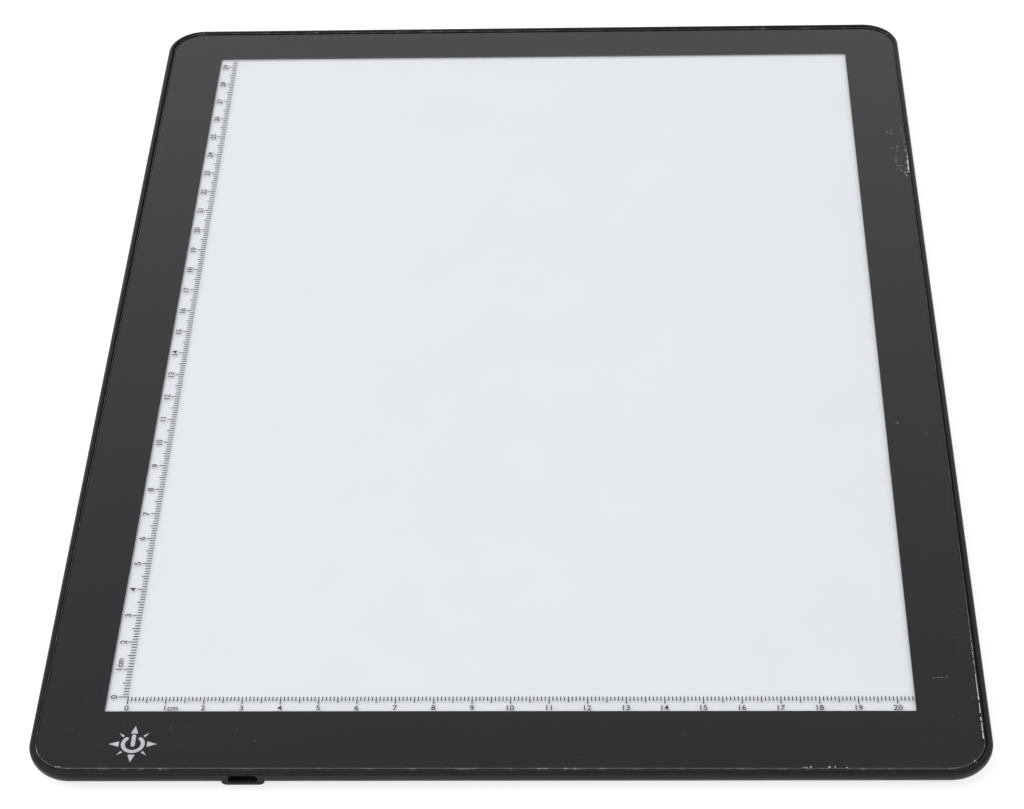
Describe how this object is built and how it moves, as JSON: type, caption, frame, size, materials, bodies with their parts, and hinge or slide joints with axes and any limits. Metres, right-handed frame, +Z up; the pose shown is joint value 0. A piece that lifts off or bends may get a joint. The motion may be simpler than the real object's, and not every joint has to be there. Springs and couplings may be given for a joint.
{
  "type": "led tracing pad",
  "caption": "Slim edge-lit light pad: white window with printed centimetre rulers, black border with touch switch, thin rounded case with USB socket.",
  "frame": {"origin": "on the surface that the feet stand on, under the middle of the case", "axes": "+Z up out of the drawing surface, +Y along the long side away from the socket and touch mark, +X to the right"},
  "size_m": [0.2468, 0.3388, 0.0065],
  "materials": {
    "case_plastic": "fine satin moulded black plastic",
    "panel_acrylic": "clear polished acrylic",
    "border_ink": "black ink printed under the clear panel",
    "mark_ink": "light grey ink of the touch mark",
    "ruler_ink": "dark grey ink of the rulers",
    "black_tape": "black double-sided film tape",
    "diffuser_film": "milky white diffusing film",
    "guide_acrylic": "clear acrylic light guide with dotted back",
    "reflector_film": "bright white reflecting film",
    "strip_board": "white solder-resist circuit strip with light-emitting diodes",
    "mounting_tape": "thin double-sided mounting tape",
    "circuit_board": "green solder-resist circuit board",
    "socket_steel": "nickel-plated folded sheet steel",
    "contact_metal": "gold-plated contacts",
    "black_resin": "black moulded resin",
    "capacitor_ceramic": "brown chip capacitor body",
    "conductive_foam": "grey conductive foam",
    "red_insulation": "red lead insulation",
    "black_insulation": "black lead insulation",
    "foot_rubber": "matte black rubber"
  },
  "bodies": {
    "root": {"rear_case": "case_plastic", "front_panel": "panel_acrylic", "light_blocking_tape": "black_tape", "diffuser_sheet": "diffuser_film", "light_guide_plate": "guide_acrylic", "reflector_sheet": "reflector_film", "led_strip_left": "strip_board", "led_strip_right": "strip_board", "strip_tape_left": "mounting_tape", "strip_tape_right": "mounting_tape", "control_board": "circuit_board", "board_tape": "mounting_tape", "usb_shell": "socket_steel", "usb_tongue": "black_resin", "usb_contact_1": "contact_metal", "usb_contact_2": "contact_metal", "usb_contact_3": "contact_metal", "usb_contact_4": "contact_metal", "usb_contact_5": "contact_metal", "touch_electrode": "conductive_foam", "touch_chip": "black_resin", "power_transistor": "black_resin", "capacitor_1": "capacitor_ceramic", "capacitor_2": "capacitor_ceramic", "capacitor_3": "capacitor_ceramic", "resistor_1": "black_resin", "resistor_2": "black_resin", "resistor_3": "black_resin", "resistor_4": "black_resin", "resistor_5": "black_resin", "lead_left_red": "red_insulation", "lead_left_black": "black_insulation", "lead_right_red": "red_insulation", "lead_right_black": "black_insulation", "rubber_foot_near_left": "foot_rubber", "rubber_foot_near_right": "foot_rubber", "rubber_foot_far_left": "foot_rubber", "rubber_foot_far_right": "foot_rubber"}
  },
  "joints": []
}
